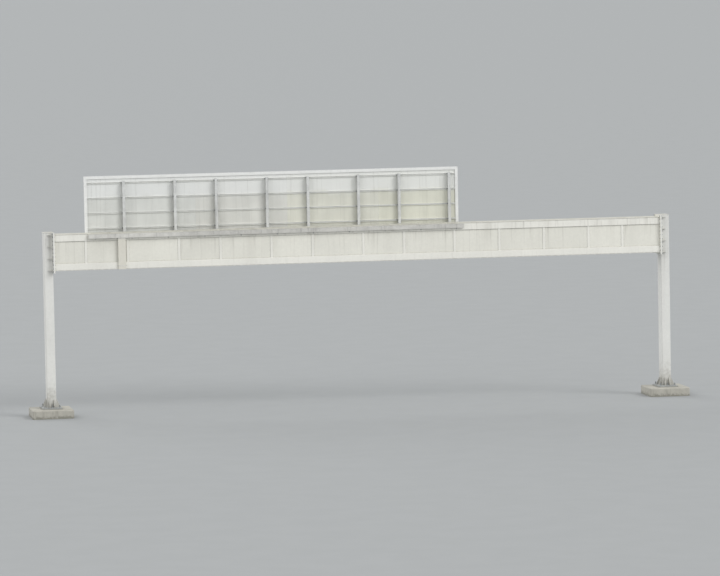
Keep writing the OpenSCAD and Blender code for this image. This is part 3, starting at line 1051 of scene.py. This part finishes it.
@dataclass
class Leg:
    """A post with its plinth, base plate, gussets, cap and head plate."""

    shop: Workshop
    end: End
    anchor_nut: Fitting = bolt((0.075, 0.006), (0.055, 0.029), (0.036, 0.004))
    lock_nut: Fitting = bolt((0.05, 0.001), (0.055, 0.018), (0.036, 0.045), "zinc thread")
    joint_head: Fitting = bolt((0.042, 0.004), (0.036, 0.015), (0.012, 0.0005))
    joint_nut: Fitting = bolt((0.042, 0.004), (0.036, 0.02), (0.024, 0.014))
    weld: Fitting = bead(0.012, 0.012, 0.22, "post paint", Slot.POST)
    anchor_edge: float = 0.08
    post_corner: float = 0.03
    gusset_clip: float = 0.024
    gusset_pitch: Pair = (0.18, 0.32)
    gusset_t: float = 0.016
    head_weld_inset: float = 0.007
    rib_count: int = 4
    rib_t: float = 0.014
    bolts_between_ribs: int = 3
    wing: float = 0.075
    row_gap: float = 0.1

    def name(self, part: str) -> str:
        """Returns the name of a part or piece of this end."""
        return f"{self.end.name.lower()}_{part}"

    def box(self, part: str) -> Box:
        """Returns the box of a part of this end."""
        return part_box(self.name(part))

    def anchors(self) -> None:
        """Fits the anchor bolts: a plate washer, a nut and a lock nut on each threaded rod."""
        low, high = self.box("base_plate")
        middle = (low + high) / 2
        xs, ys = ((low[i] + self.anchor_edge, middle[i], high[i] - self.anchor_edge) for i in (0, 1))
        spots = [(x, y) for x in xs for y in ys if (x, y) != (middle.x, middle.y)]
        lock_z = high.z + self.anchor_nut.sizes["Washer Height"] + self.anchor_nut.sizes["Head Height"]
        nuts = ("anchor_nuts", self.anchor_nut, high.z), ("anchor_lock_nuts", self.lock_nut, lock_z)
        for piece, kind, z in nuts:
            places = [Place((x, y, z), UP) for x, y in spots]
            self.shop.fasten(self.name(piece), kind, places)

    def round_post(self, z: float) -> list[Point]:
        """Returns the closed line round the post at one height."""
        low, high = self.box("post")
        return [(x, y, z) for x, y in ring((low + high).xy / 2, (high - low).xy, self.post_corner)]

    def foot_welds(self) -> None:
        """Lays the welds round the post's foot and both sides of each gusset."""
        low, high = self.box("post")
        middle, size, foot = (low + high) / 2, high - low, low.z
        gussets_low, gussets_high = self.box("base_gussets")
        reach = (gussets_high.x - gussets_low.x - size.x) / 2
        lines = [self.round_post(foot)]
        for turn, row, flank, out in product(BOTH_WAYS, HALVES, HALVES, (0, 1)):
            across, root = 1 - out, [0.0, 0.0]
            root[out] = middle[out] + turn * size[out] / 2
            root[across] = middle[across] + row * self.gusset_pitch[across] + flank * self.gusset_t
            start, tip = list(root), list(root)
            start[out] += turn * self.gusset_clip
            tip[out] += turn * reach
            lines.append([(*start, foot), (*tip, foot)])
            lines.append([(*root, foot + self.gusset_clip), (*root, gussets_high.z)])
        self.shop.lay(self.name("foot_welds"), self.weld, lines)

    def head_welds(self) -> None:
        """Lays the welds down both edges of the head plate and under the cap."""
        post, (low, high) = self.box("post"), self.box("head_plate")
        x, edge = face_at(post, 0, -self.end.value), (post[1].y - post[0].y) / 2 - self.head_weld_inset
        lines = [[(x, way * edge, low.z), (x, way * edge, high.z)] for way in BOTH_WAYS]
        lines.append(self.round_post(self.box("post_cap")[0].z))
        self.shop.lay(self.name("head_welds"), self.weld, lines)

    def joint_bolts(self) -> None:
        """Bolts the beam's end plate to the head plate: heads on the beam's side, nuts behind the wings."""
        low, high = self.box("end_plate")
        foot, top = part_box("beam_floor")[0].z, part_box("beam_deck")[1].z
        bay = (top - foot - self.rib_t) / (self.rib_count - 1)
        step = (bay - self.rib_t) / self.bolts_between_ribs
        bays, bolts = range(self.rib_count - 1), range(self.bolts_between_ribs)
        heights = [foot + self.rib_t + i * bay + step * (j + 0.5) for i in bays for j in bolts]
        edge = high.y - self.wing / 2
        spots = [(way * edge, z) for way in BOTH_WAYS for z in heights]
        rows = ((low.z + foot) / 2, (high.z + top) / 2)
        spots += [(way * y, z) for way in BOTH_WAYS for y in (edge, edge - self.row_gap) for z in rows]
        inward = -self.end.value
        for piece, kind, part, out in (
            ("joint_bolt_heads", self.joint_head, "end_plate", inward),
            ("joint_nuts", self.joint_nut, "post", -inward),
        ):
            x = face_at(self.box(part), 0, inward)
            places = [Place((x, y, z), (out, 0.0, 0.0), UP) for y, z in spots]
            self.shop.fasten(self.name(piece), kind, places)

    def build(self) -> None:
        """Dresses the leg and makes its small parts."""
        for finish, *parts in (
            ("cast concrete", "plinth"),
            ("galvanised plate", "base_plate"),
            ("post paint", "base_gussets", "post", "post_cap", "head_plate"),
        ):
            self.shop.dress(finish, *(self.name(part) for part in parts))
        self.anchors()
        self.foot_welds()
        self.head_welds()
        self.joint_bolts()


@dataclass
class BeamSide:
    """One long side of the closed beam: its two chords, uprights and side panels."""

    shop: Workshop
    side: Side
    screw: Fitting = rivet(0.014, 0.0035)
    seal: Fitting = bead(0.008, 0.6, 0.0, "panel sealant", Slot.PANEL)
    weld: Fitting = BEAM_WELD
    upright_gap: float = 0.5
    upright_corner: float = 0.01
    screw_pitch: float = 0.29
    screw_inset: float = 0.022
    stitch: float = 0.06
    stitch_pitch: float = 0.3
    stitch_in: Pair = (0.004, 0.003)
    chord_corner: float = 0.022

    def name(self, part: str) -> str:
        """Returns the name of a part or piece of this side."""
        return f"{self.side.name.lower()}_{part}"

    def uprights(self) -> list[Pair]:
        """Returns the left and right face of each upright, from left to right."""
        mesh = self.shop.frame["nodes"][self.name("uprights")].data
        return clusters([v.co.x for v in mesh.vertices], self.upright_gap)

    def panels(self) -> list[Pair]:
        """Returns the left and right edge of each side panel, from left to right."""
        low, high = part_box(self.name("panels"))
        return between(low.x, self.uprights(), high.x)

    def web(self) -> tuple[float, float, float]:
        """Returns the outer face, the foot and the top of the side panels."""
        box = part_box(self.name("panels"))
        return face_at(box, 1, self.side.value), box[0].z, box[1].z

    def screws(self) -> None:
        """Screws each panel down along its top and its foot, and twice up each end."""
        y, foot, top = self.web()
        spots = []
        for start, end in self.panels():
            ends = start + self.screw_inset, end - self.screw_inset
            edges = foot + self.screw_inset, top - self.screw_inset
            spots += [(x, z) for x in spread(*ends, self.screw_pitch) for z in edges]
            spots += [(x, foot + (top - foot) * share) for x in ends for share in (1 / 3, 2 / 3)]
        places = on_wall(spots, y, (0.0, self.side.value, 0.0))
        self.shop.fasten(self.name("panel_screws"), self.screw, places)

    def seals(self) -> None:
        """Runs sealant round each panel, in the corner with the chords and the uprights."""
        y, foot, top = self.web()
        lines = [[(x0, y, z), (x1, y, z)] for x0, x1 in self.panels() for z in (foot, top)]
        lines += [[(x, y, foot), (x, y, top)] for pair in self.panels() for x in pair]
        self.shop.lay(self.name("panel_seals"), self.seal, lines)

    def stitches(self, y: float, z: float) -> list[list[Point]]:
        """Makes short runs of weld along the whole beam.

        Args:
            y: Their place across the beam.
            z: Their height.

        Returns:
            A line for each run.
        """
        low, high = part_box("beam_deck")
        starts = spread(low.x + self.stitch, high.x - 2 * self.stitch, self.stitch_pitch)
        return [[(x, y, z), (x + self.stitch, y, z)] for x in starts]

    def welds(self) -> None:
        """Welds the uprights to the chords, the chords to the end plates, and the deck and floor on."""
        low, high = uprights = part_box(self.name("uprights"))
        y, inset = face_at(uprights, 1, self.side.value), self.upright_corner
        feet = [(x0 + inset, x1 - inset) for x0, x1 in self.uprights()]
        lines = [[(x0, y, z), (x1, y, z)] for x0, x1 in feet for z in (low.z, high.z)]
        for chord, way in (("bottom", -1.0), ("top", 1.0)):
            low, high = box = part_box(self.name(f"{chord}_chord"))
            outline = ring((low + high).yz / 2, (high - low).yz, self.chord_corner)
            lines += [[(x, y, z) for y, z in outline] for x in (low.x, high.x)]
            seam_y = face_at(box, 1, self.side.value) - self.side.value * self.stitch_in[0]
            lines += self.stitches(seam_y, face_at(box, 2, way) - way * self.stitch_in[1])
        self.shop.lay(self.name("beam_welds"), self.weld, lines)

    def build(self) -> None:
        """Dresses the side and makes its small parts."""
        framing = ("bottom_chord", "top_chord", "uprights")
        self.shop.dress("beam paint", *(self.name(part) for part in framing))
        self.shop.dress("panel paint", self.name("panels"))
        self.screws()
        self.seals()
        self.welds()


@dataclass
class Beam:
    """The plates that close the beam's ends, top and foot, and its two long sides."""

    shop: Workshop
    sides: list[BeamSide]
    weld: Fitting = BEAM_WELD
    deck_plate: float = 6.3
    seam_inset: Pair = (0.012, 0.002)

    def deck_seams(self) -> None:
        """Welds the deck's plates together across the beam."""
        low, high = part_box("beam_deck")
        xs, (inset, sunk) = spread(low.x, high.x, self.deck_plate)[1:-1], self.seam_inset
        z = high.z - sunk
        self.shop.lay("deck_seams", self.weld, [[(x, low.y + inset, z), (x, high.y - inset, z)] for x in xs])

    def build(self) -> None:
        """Dresses the beam and makes its small parts."""
        self.shop.dress("beam paint", "left_end_plate", "right_end_plate", "beam_floor", "beam_deck")
        for side in self.sides:
            side.build()
        self.deck_seams()


@dataclass
class Sign:
    """The sign on the beam's front: supports, packing plates, rails, sheets, trim and its face."""

    shop: Workshop
    support_bolt: Fitting = bolt((0.034, 0.003), (0.027, 0.012), (0.01, 0.0005))
    clamp: Fitting = Fitting("clamps", dict(zip(CLAMP, (0.06, 0.042, 0.016, 0.024, 0.009, 0.019))))
    edge_rivet: Fitting = rivet(0.011, 0.0025, Slot.RAIL)
    pairs: int = 4
    rails: int = 5
    flange_t: float = 0.009
    bolt_offset: Pair = (0.034, 0.065)
    sheet_edge: float = 0.06
    sheet_rivet_pitch: float = 0.25
    trim_edge: float = 0.03
    trim_rivet_pitch: Pair = (0.45, 0.4)
    film_t: float = 0.0006
    film_margin: float = 0.022
    film_corner: float = 0.01
    sections_gap: float = 0.006
    film_gap: float = 0.002
    band_share: float = 0.34
    border_inset: float = 0.05
    corner: float = 0.09
    border: float = 0.045
    arrow_at: tuple[float, ...] = (1 / 6, 1 / 2, 5 / 6)
    arrow_foot: float = 0.25
    arrow_share: float = 0.6
    arrow_form: tuple[float, float, float] = (0.16, 0.62, 0.42)

    def boxes(self, part: str, count: int) -> list[Box]:
        """Returns the boxes of a numbered part, from left to right or from the foot up."""
        return [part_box(f"sign_{part}_{i + 1}") for i in range(count)]

    def rail_heights(self) -> list[float]:
        """Returns the middle height of each rail behind the sign."""
        return [(low.z + high.z) / 2 for low, high in self.boxes("rail", self.rails)]

    def dress(self) -> None:
        """Gives each of the sign's CAD nodes its finish."""
        for part, count, finish in (
            ("support", 2 * self.pairs, "galvanised section"),
            ("rail", self.rails, "rail aluminium"),
            ("sheet", self.pairs, "sheet back {}"),
        ):
            for i in range(count):
                self.shop.dress(finish.format(i + 1), f"sign_{part}_{i + 1}")
        self.shop.dress("trim aluminium", "sign_edge_trim")
        self.shop.dress("galvanised plate", "packing_plates")

    def fixings(self) -> None:
        """Bolts each support's rear flange to both front chords, and clamps the rails to its front flange."""
        chords = [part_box(f"front_{chord}_chord") for chord in ("bottom", "top")]
        bolts, clamps = [], []
        for low, high in self.boxes("support", 2 * self.pairs):
            middle = (low.x + high.x) / 2
            for (foot, top), sx, sz in product(chords, BOTH_WAYS, BOTH_WAYS):
                x, z = middle + sx * self.bolt_offset[0], (foot.z + top.z) / 2 + sz * self.bolt_offset[1]
                bolts.append(Place((x, low.y + self.flange_t, z), FORWARD))
            for z in self.rail_heights():
                for x, out in ((low.x, -1.0), (high.x, 1.0)):
                    clamps.append(Place((x, high.y - self.flange_t, z), REARWARD, (out, 0.0, 0.0)))
        self.shop.fasten("support_bolts", self.support_bolt, bolts)
        self.shop.fasten("rail_clamps", self.clamp, clamps)

    def rivets(self) -> None:
        """Rivets the sheets to the rails, and the trim round the sign's edge."""
        sheets, spots = self.boxes("sheet", self.pairs), []
        for low, high in sheets:
            xs = spread(low.x + self.sheet_edge, high.x - self.sheet_edge, self.sheet_rivet_pitch)
            spots += [(x, z) for x in xs for z in self.rail_heights()]
        self.shop.fasten("sheet_rivets", self.edge_rivet, on_wall(spots, sheets[0][1].y, FORWARD))
        low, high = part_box("sign_edge_trim")
        ends, edges = ((low[i] + self.trim_edge, high[i] - self.trim_edge) for i in (0, 2))
        spots = [(x, z) for x in spread(*ends, self.trim_rivet_pitch[0]) for z in edges]
        spots += [(x, z) for x in ends for z in spread(*edges, self.trim_rivet_pitch[1])[1:-1]]
        self.shop.fasten("trim_rivets", self.edge_rivet, on_wall(spots, low.y, REARWARD))

    def film(self, name: str, outlines: list[list[Pair]], finish: str, layer: int = 0) -> None:
        """Lays film on the sheets, cut open along the joints between them.

        Args:
            name: The piece's name.
            outlines: Closed outlines in X and Z.
            finish: The film's finish.
            layer: How many layers lie below it.
        """
        made = bmesh.new()
        sheets = self.boxes("sheet", self.pairs)
        back = sheets[0][1].y + layer * self.film_t
        for outline in outlines:
            made.faces.new([made.verts.new((x, back, z)) for x, z in outline])
        bmesh.ops.remove_doubles(made, verts=made.verts[:], dist=0.0001)
        made.normal_update()
        for (_, left), (right, _) in zip(sheets[:-1], sheets[1:]):
            for x in (left.x, right.x):
                parts = made.verts[:] + made.edges[:] + made.faces[:]
                bmesh.ops.bisect_plane(made, geom=parts, plane_co=(x, 0, 0), plane_no=ALONG)
            gap = [f for f in made.faces if left.x < f.calc_center_median().x < right.x]
            bmesh.ops.delete(made, geom=gap, context="FACES")
        sides = bmesh.ops.extrude_face_region(made, geom=made.faces[:])
        moved = [v for v in sides["geom"] if isinstance(v, bmesh.types.BMVert)]
        bmesh.ops.translate(made, verts=moved, vec=(0, self.film_t, 0))
        bmesh.ops.triangulate(made, faces=made.faces[:])
        self.shop.solid(name, made, finish, Slot.SHEET)

    def frame_strips(self, x0: float, x1: float, z0: float, z1: float) -> list[list[Pair]]:
        """Draws a round-cornered border inside a field.

        Args:
            x0: The field's left edge.
            x1: Its right edge.
            z0: Its foot.
            z1: Its top.

        Returns:
            The border as a band of four-cornered outlines.
        """
        outer, inner = (
            plate(x0 + gap, x1 - gap, z0 + gap, z1 - gap, self.corner + self.border_inset - gap)
            for gap in (self.border_inset, self.border_inset + self.border)
        )
        pairs = list(zip(outer, inner))
        return [[o0, o1, i1, i0] for (o0, i0), (o1, i1) in zip(pairs, pairs[1:] + pairs[:1])]

    def arrow(self, x: float, foot: float, tall: float) -> list[Pair]:
        """Draws a plain lane arrow that points down.

        Args:
            x: Its middle.
            foot: Its tip's height.
            tall: Its length.

        Returns:
            The outline.
        """
        shaft, head_w, head_h = (share * tall for share in self.arrow_form)
        half = [(head_w / 2, foot + head_h), (shaft / 2, foot + head_h), (shaft / 2, foot + tall)]
        return [(x, foot), *((x + w, z) for w, z in half), *((x - w, z) for w, z in reversed(half))]

    def face(self) -> None:
        """Lays the sign's plain face: a white section, and a green one under a white band."""
        sheets, inset = self.boxes("sheet", self.pairs), self.film_margin
        x0, x1 = sheets[0][0].x + inset, sheets[-1][1].x - inset
        z0, z1 = sheets[0][0].z + inset, sheets[0][1].z - inset
        split = sheets[0][1].x - self.film_gap
        start, band = split + self.sections_gap, z1 - (z1 - z0) * self.band_share
        white = [plate(x0, split, z0, z1, self.film_corner), plate(start, x1, band, z1, self.film_corner)]
        self.film("face_white_field", white, "white film")
        green = plate(start, x1, z0, band - self.film_gap, self.film_corner)
        self.film("face_green_field", [green], "green film")
        dark = self.frame_strips(x0, split, z0, z1) + self.frame_strips(split, x1, band, z1)
        self.film("face_dark_borders", dark, "black film", 1)
        lines, tall = self.frame_strips(split, x1, z0, band), (band - z0) * self.arrow_share
        lines += [self.arrow(split + (x1 - split) * at, z0 + self.arrow_foot, tall) for at in self.arrow_at]
        self.film("face_white_lines", lines, "white film", 1)

    def build(self) -> None:
        """Dresses the sign and makes its small parts and its face."""
        self.dress()
        self.fixings()
        self.rivets()
        self.face()


@dataclass
class Cables:
    """The trunking along the rear chord and the duct that drops from it, with their fittings."""

    shop: Workshop
    screw: Fitting = rivet(0.012, 0.004)
    bracket: Fitting = Fitting("brackets", dict(zip(BRACKET, (0.062, 0.098, 0.05, 0.005))), "galvanised tray")
    bracket_bolt: Fitting = bolt((0.02, 0.002), (0.016, 0.008), (0.008, 0.0005))
    saddle_bolt: Fitting = bolt((0.018, 0.002), (0.013, 0.007), (0.008, 0.0005))
    coupler_gap: float = 0.5
    wall_t: float = 0.003
    lid_t: float = 0.0015
    lid_lip: float = 0.018
    screw_edge: float = 0.08
    screw_pitch: float = 0.75
    coupler_screws: tuple[float, float, float] = (0.025, 0.03, 0.04)
    bracket_edge: float = 0.3
    bracket_pitch: float = 1.5
    duct_clearance: float = 0.1
    bolt_share: float = 0.6
    saddle_heights: Pair = (0.14, 1.225)
    strap: tuple[float, float, float] = (0.03, 0.003, 0.032)

    def lids(self) -> None:
        """Folds a lid over each length of trunking, whose lip laps its face, and screws all of it down."""
        low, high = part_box("cable_trunking")
        mesh = self.shop.frame["nodes"]["cable_trunking"].data
        faces = [v.co.x for v in mesh.vertices if v.co.y < low.y + self.wall_t / 3]
        couplers = clusters(faces, self.coupler_gap)
        inner, top, wall = low.y + self.wall_t, high.z - self.wall_t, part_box("rear_top_chord")[0].y
        outer, lid_top, lip = inner - self.lid_t, top + self.lid_t, top - self.lid_lip
        outline = [(wall, top), (wall, lid_top), (outer, lid_top), (outer, lip), (inner, lip), (inner, top)]
        made, spots = bmesh.new(), []
        for x0, x1 in between(low.x, couplers, high.x):
            ends = [[made.verts.new((x, y, z)) for y, z in outline] for x in (x0, x1)]
            for end in ends:
                made.faces.new(end)
            for i in range(len(outline)):
                j = (i + 1) % len(outline)
                made.faces.new((ends[0][i], ends[0][j], ends[1][j], ends[1][i]))
            z = top - self.lid_lip / 2
            spots += [(x, z) for x in spread(x0 + self.screw_edge, x1 - self.screw_edge, self.screw_pitch)]
        self.shop.solid("trunking_lids", made, "galvanised tray", Slot.STEEL)
        edge, over_foot, under_top = self.coupler_screws
        zs = low.z + over_foot, high.z - under_top
        joints = [(x, z) for x0, x1 in couplers for x in (x0 + edge, x1 - edge) for z in zs]
        places = on_wall(spots, outer, REARWARD) + on_wall(joints, low.y, REARWARD)
        self.shop.fasten("trunking_screws", self.screw, places)

    def brackets(self) -> None:
        """Stands the trunking on angle brackets, bolted to the chord's face below it."""
        low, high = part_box("cable_trunking")
        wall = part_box("rear_top_chord")[0].y
        left, right = (face_at(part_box("cable_duct"), 0, way) + way * self.duct_clearance for way in BOTH_WAYS)
        xs = spread(low.x + self.bracket_edge, high.x - self.bracket_edge, self.bracket_pitch)
        xs = [x for x in xs if not left < x < right]
        places = [Place((x, wall, low.z), REARWARD, UP) for x in xs]
        self.shop.fasten("trunking_brackets", self.bracket, places)
        leg, metal = self.bracket.sizes["Leg Length"], self.bracket.sizes["Bracket Wall"]
        spots = [(x, low.z - leg * self.bolt_share) for x in xs]
        self.shop.fasten("trunking_bolts", self.bracket_bolt, on_wall(spots, wall - metal, REARWARD))

    def saddles(self) -> None:
        """Straps the duct to both rear chords with saddles."""
        low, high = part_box("cable_duct")
        width, depth, _ = high - low
        _, strap_t, ear = self.strap
        kind = Fitting("saddles", dict(zip(SADDLE, (width, depth, *self.strap))), "galvanised tray")
        middle, heights = (low.x + high.x) / 2, [low.z + height for height in self.saddle_heights]
        places = [Place((middle, high.y, z), REARWARD, UP) for z in heights]
        self.shop.fasten("duct_saddles", kind, places)
        edge = width / 2 + strap_t + ear / 2
        spots = [(middle + way * edge, z) for z in heights for way in BOTH_WAYS]
        self.shop.fasten("duct_bolts", self.saddle_bolt, on_wall(spots, high.y - strap_t, REARWARD))

    def build(self) -> None:
        """Dresses the trunking and its duct and makes their fittings."""
        self.shop.dress("galvanised tray", "cable_trunking")
        self.shop.dress("duct paint", "cable_duct")
        self.lids()
        self.brackets()
        self.saddles()


@dataclass(frozen=True)
class Lamp:
    """A far soft lamp: the way towards it, its strength, and the angle that it fills, in degrees."""

    name: str
    towards: Point
    energy: float
    soft: float

    def make(self) -> None:
        """Adds the lamp."""
        light = bpy.data.lights.new(self.name, "SUN")
        light.energy, light.angle = self.energy, math.radians(self.soft)
        lamp = put(self.name, light)
        lamp.rotation_mode = "QUATERNION"
        lamp.rotation_quaternion = Vector(self.towards).to_track_quat("Z", "Y")


@dataclass
class Surroundings:
    """The floor, the light and the camera."""

    floor_reach: float = 3000.0
    floor_colour: Colour = (0.63, 0.64, 0.64)
    sky: Colour = (0.75, 0.75, 0.765)
    backdrop: Colour = (0.75, 0.77, 0.78)
    lamps: tuple[Lamp, ...] = (
        Lamp("key", (0.60, -0.58, 0.55), 1.45, 30.0),
        Lamp("rear fill", (-0.84, -0.46, 0.28), 0.6, 50.0),
        Lamp("front fill", (-0.45, 0.75, 0.48), 0.94, 40.0),
    )
    azimuth: float = -10.0
    elevation: float = 4.2
    roll: float = 1.1
    distance: float = 177.0
    lens: float = 218.0

    def floor(self) -> None:
        """Lays a plain pale floor."""
        made = bmesh.new()
        bmesh.ops.create_grid(made, x_segments=1, y_segments=1, size=self.floor_reach)
        mesh = plain_mesh("floor", made)
        s = Shader("floor")
        colour = s.mottled(linear(self.floor_colour), s.noise(0.7, 3.0), 0.985, 1.01)
        mesh.materials.append(s.close(colour, 0.85, s.bump(s.noise(30.0), 0.0005), specular=0.2))
        put("floor", mesh)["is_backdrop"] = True

    def world(self) -> None:
        """Makes an even sky whose light is plain and whose face is pale."""
        world = bpy.data.worlds.new("even sky")
        world.use_nodes = True
        g = Graph(world.node_tree)
        rays = ("Is Camera Ray", "Is Glossy Ray", "Is Transmission Ray")
        seen, mirrored, refracted = (g.term("ShaderNodeLightPath", out=ray) for ray in rays)
        seen = g.math("MAXIMUM", g.math("MAXIMUM", seen, mirrored), refracted)
        colour = g.blend(seen, (*self.sky, 1.0), linear(self.backdrop))
        g.node("ShaderNodeOutputWorld", {0: g.term("ShaderNodeBackground", {0: colour})})
        bpy.context.scene.world = world

    def camera(self) -> None:
        """Sets the camera at the photograph's angle, far off with a long lens, and rolled as it was."""
        low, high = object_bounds()
        turn, rise = math.radians(self.azimuth), math.radians(self.elevation)
        back = Vector((math.sin(turn) * math.cos(rise), -math.cos(turn) * math.cos(rise), math.sin(rise)))
        data = bpy.data.cameras.new("camera")
        data.lens, data.clip_end = self.lens, 2 * self.floor_reach
        camera = put("camera", data)
        camera.location = (low + high) / 2 + back * self.distance
        camera.rotation_euler = (-back).to_track_quat("-Z", "Y").to_euler()
        camera.rotation_euler.rotate_axis("Z", -math.radians(self.roll))
        bpy.context.scene.camera = camera

    def build(self) -> None:
        """Makes the floor, the sky, the lamps and the camera."""
        bpy.context.scene.view_settings.view_transform = "Standard"
        self.floor()
        self.world()
        for lamp in self.lamps:
            lamp.make()
        self.camera()


def make_finishes(panel_edges: tuple[float, ...]) -> dict[str, bpy.types.Material]:
    """Makes every finish.

    Args:
        panel_edges: The left edge of each side panel.

    Returns:
        The materials by the finish's name.
    """
    cream, deep_cream, pale_grey = (0.91, 0.905, 0.872), (0.885, 0.88, 0.84), (0.87, 0.87, 0.85)
    sheet_tints = ((0.84, 0.845, 0.825), (0.84, 0.84, 0.815), (0.845, 0.845, 0.80), (0.85, 0.85, 0.795))
    grout_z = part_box("left_base_plate")[0].z - GROUT_T
    finishes = [
        WeatheredPaint("beam paint", cream),
        PanelPaint("panel paint", deep_cream, streak=0.3, roughness=0.48, edges=panel_edges),
        WeatheredPaint("post paint", pale_grey, drip_reach=4.0, streak=0.26, splash_z=1.5),
        WeatheredPaint("duct paint", (0.845, 0.835, 0.79), streak=0.2, roughness=0.5),
        Galvanised("galvanised section", (0.815, 0.82, 0.81), metallic=0.08),
        Galvanised("galvanised plate", (0.66, 0.67, 0.665), spangle=30.0, metallic=0.2),
        Galvanised("galvanised tray", (0.825, 0.82, 0.795), spangle=60.0, metallic=0.08,
                   bloom=(0.845, 0.84, 0.815), tone_steps=((-7.4, 0.845), (-1.5, 1.06))),
        Galvanised("zinc fastening", (0.64, 0.65, 0.65), spangle=160.0, metallic=0.4),
        Galvanised("zinc thread", (0.56, 0.57, 0.57), spangle=160.0, metallic=0.5, thread_pitch=0.004),
        ExtrudedAluminium("rail aluminium", (0.92, 0.922, 0.905), metallic=0.08, dulled=0.25),
        ExtrudedAluminium("trim aluminium", (0.92, 0.922, 0.91), metallic=0.05, dulled=0.2),
        CastConcrete("cast concrete", (0.70, 0.69, 0.65), grout_z),
        SignFilm("white film", (0.86, 0.87, 0.86)),
        SignFilm("green film", (0.10, 0.42, 0.32)),
        SignFilm("black film", (0.10, 0.10, 0.11)),
        Mastic("panel sealant", (0.50, 0.49, 0.45)),
        *(SheetAluminium(f"sheet back {i + 1}", tint) for i, tint in enumerate(sheet_tints)),
    ]
    return {finish.name: finish.make() for finish in finishes}


def main() -> None:
    """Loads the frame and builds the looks."""
    logging.basicConfig(level=logging.INFO, format="%(name)s: %(message)s")
    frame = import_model()
    shop = Workshop(frame)
    sides = [BeamSide(shop, side) for side in Side]
    shop.finishes = make_finishes(tuple(start for start, _ in sides[0].panels()))
    trees = (bolt_tree, rivet_tree, clamp_tree, bracket_tree, saddle_tree, bead_tree)
    shop.trees = {tree.name: tree for tree in (make() for make in trees)}
    legs = [Leg(shop, end) for end in End]
    for assembly in (*legs, Beam(shop, sides), Sign(shop), Cables(shop), Surroundings()):
        assembly.build()


if __name__ == "__main__":
    main()
